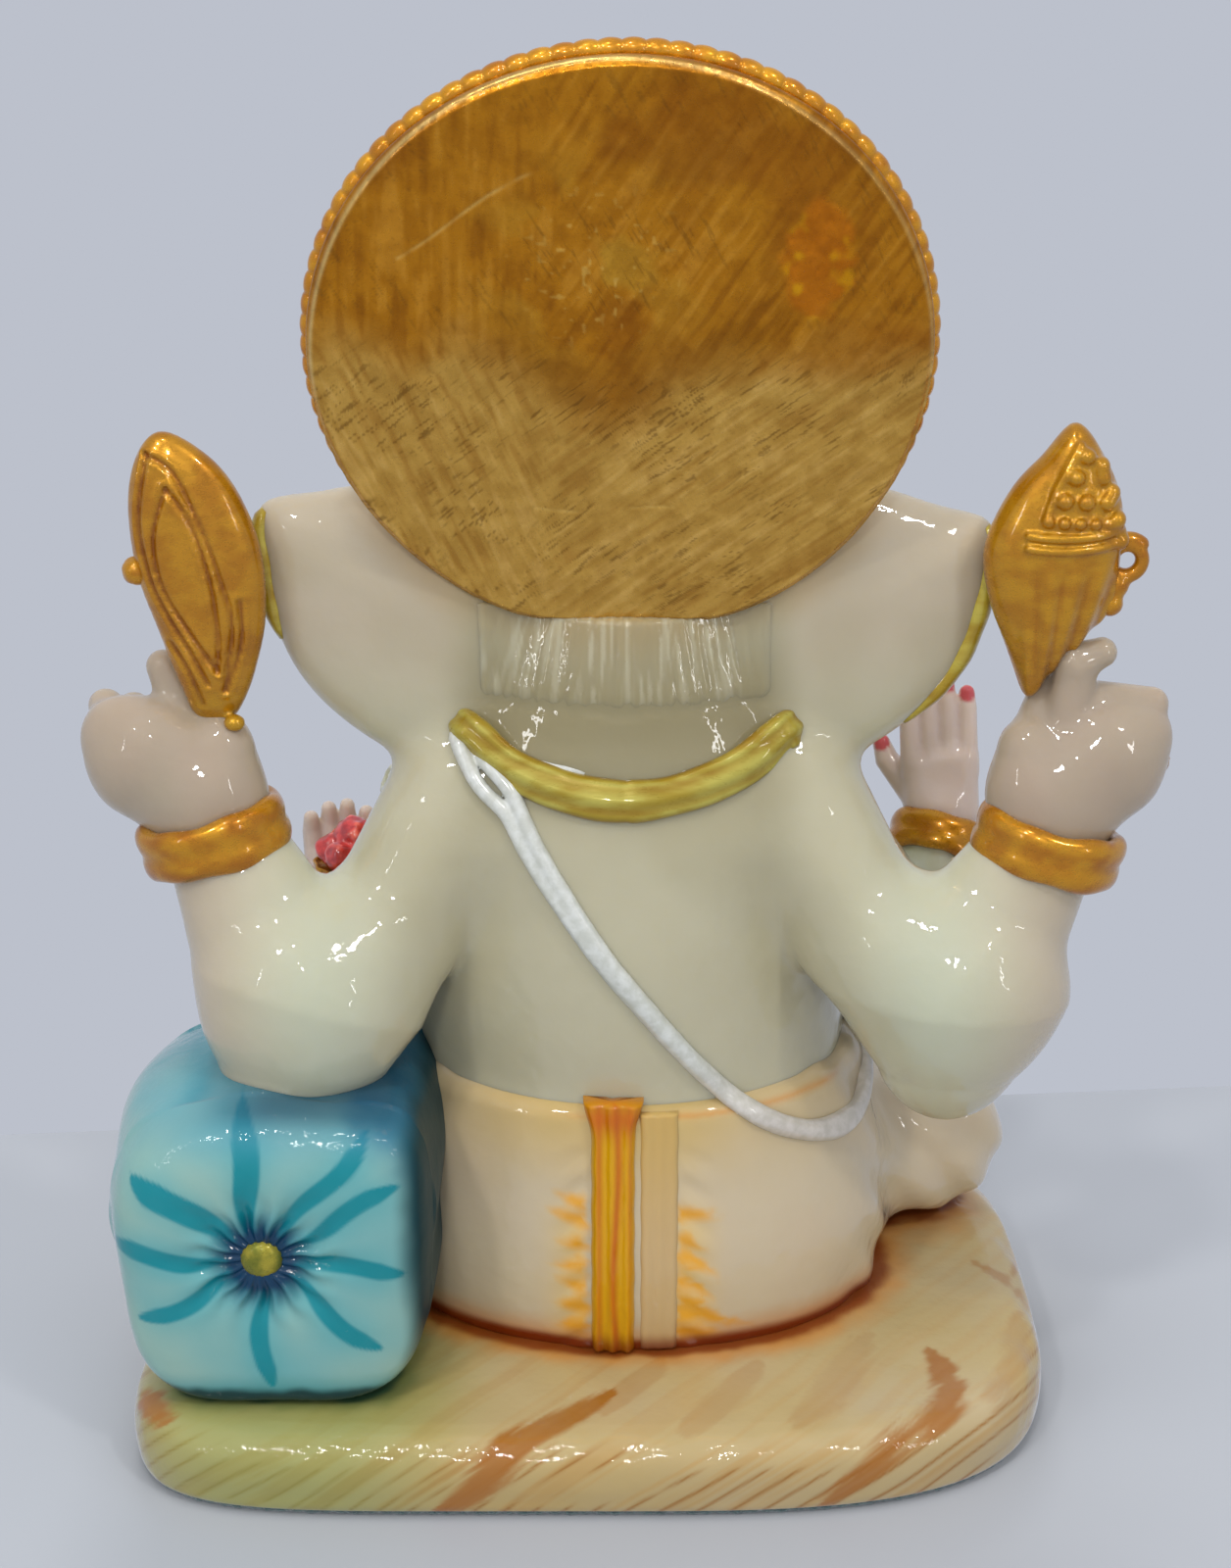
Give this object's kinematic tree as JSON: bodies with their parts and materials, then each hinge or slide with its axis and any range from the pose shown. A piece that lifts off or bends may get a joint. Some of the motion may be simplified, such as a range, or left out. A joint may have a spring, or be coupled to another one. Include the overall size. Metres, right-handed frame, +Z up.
{
  "type": "hindu deity statue",
  "caption": "Seated four-armed elephant-headed deity figurine in cast painted resin, with a round gold crown plate and a round cushion, on a cushion-shaped base.",
  "frame": {"origin": "on the underside of the felt pad, straight below the middle plane of the figure and near the middle of the base's depth", "axes": "+Z up out of the table; the figure faces -Y, so +Y comes out of its back; +X is the figure's own left"},
  "size_m": [0.1536, 0.092, 0.2005],
  "materials": {
    "cream_resin": "cast cream resin under a wet-looking clear coat, light passing a little way in",
    "dhoti_resin": "the same resin tinted peach and pink, with orange stain in the folds",
    "veined_resin": "cream resin with slanting brown and yellow marble veins under clear coat",
    "turquoise_resin": "pale aqua resin with turquoise brush strokes under clear coat",
    "gold_paint": "brushed-on yellow gold paint, half glossy",
    "orange_gold_paint": "brushed-on orange gold paint with dark flecks, half glossy",
    "white_paint": "white gloss paint",
    "red_paint": "red gloss paint",
    "black_paint": "black gloss paint",
    "felt": "dark teal felt, matt"
  },
  "bodies": {
    "root": {"felt_pad": "felt", "base": "veined_resin", "hips": "dhoti_resin", "pleat_strip": "orange_gold_paint", "pleat_band": "dhoti_resin", "leg_right": "dhoti_resin", "leg_left": "dhoti_resin", "foot_right": "cream_resin", "foot_left": "cream_resin", "anklet_right": "gold_paint", "anklet_left": "gold_paint", "torso": "cream_resin", "sacred_thread": "white_paint", "necklace": "gold_paint", "pendant": "gold_paint", "rear_arm_left": "cream_resin", "rear_arm_right": "cream_resin", "rear_hand_left": "cream_resin", "rear_hand_right": "cream_resin", "rear_bangle_left": "orange_gold_paint", "rear_bangle_right": "orange_gold_paint", "palm_bead": "gold_paint", "front_arm_left": "cream_resin", "front_arm_right": "cream_resin", "front_hand_left": "cream_resin", "front_hand_right": "cream_resin", "front_bangle_left": "orange_gold_paint", "front_bangle_right": "orange_gold_paint", "sweet_dish": "gold_paint", "sweets": "red_paint", "head": "cream_resin", "hair": "cream_resin", "ear_left": "cream_resin", "ear_right": "cream_resin", "ear_trim_left": "gold_paint", "ear_trim_right": "gold_paint", "trunk": "cream_resin", "tusk_left": "white_paint", "tusk_right": "white_paint", "eyes": "black_paint", "forehead_mark": "red_paint", "crown_plate": "orange_gold_paint", "plate_beads": "orange_gold_paint", "crown_band": "gold_paint", "crown_dome": "gold_paint", "crown_finial": "gold_paint", "crown_jewels": "red_paint", "emblem_leaf": "orange_gold_paint", "emblem_leaf_bead": "orange_gold_paint", "emblem_conch": "orange_gold_paint", "conch_scroll": "orange_gold_paint", "conch_ribs": "orange_gold_paint", "bolster": "turquoise_resin", "bolster_buttons": "gold_paint"}
  },
  "joints": []
}
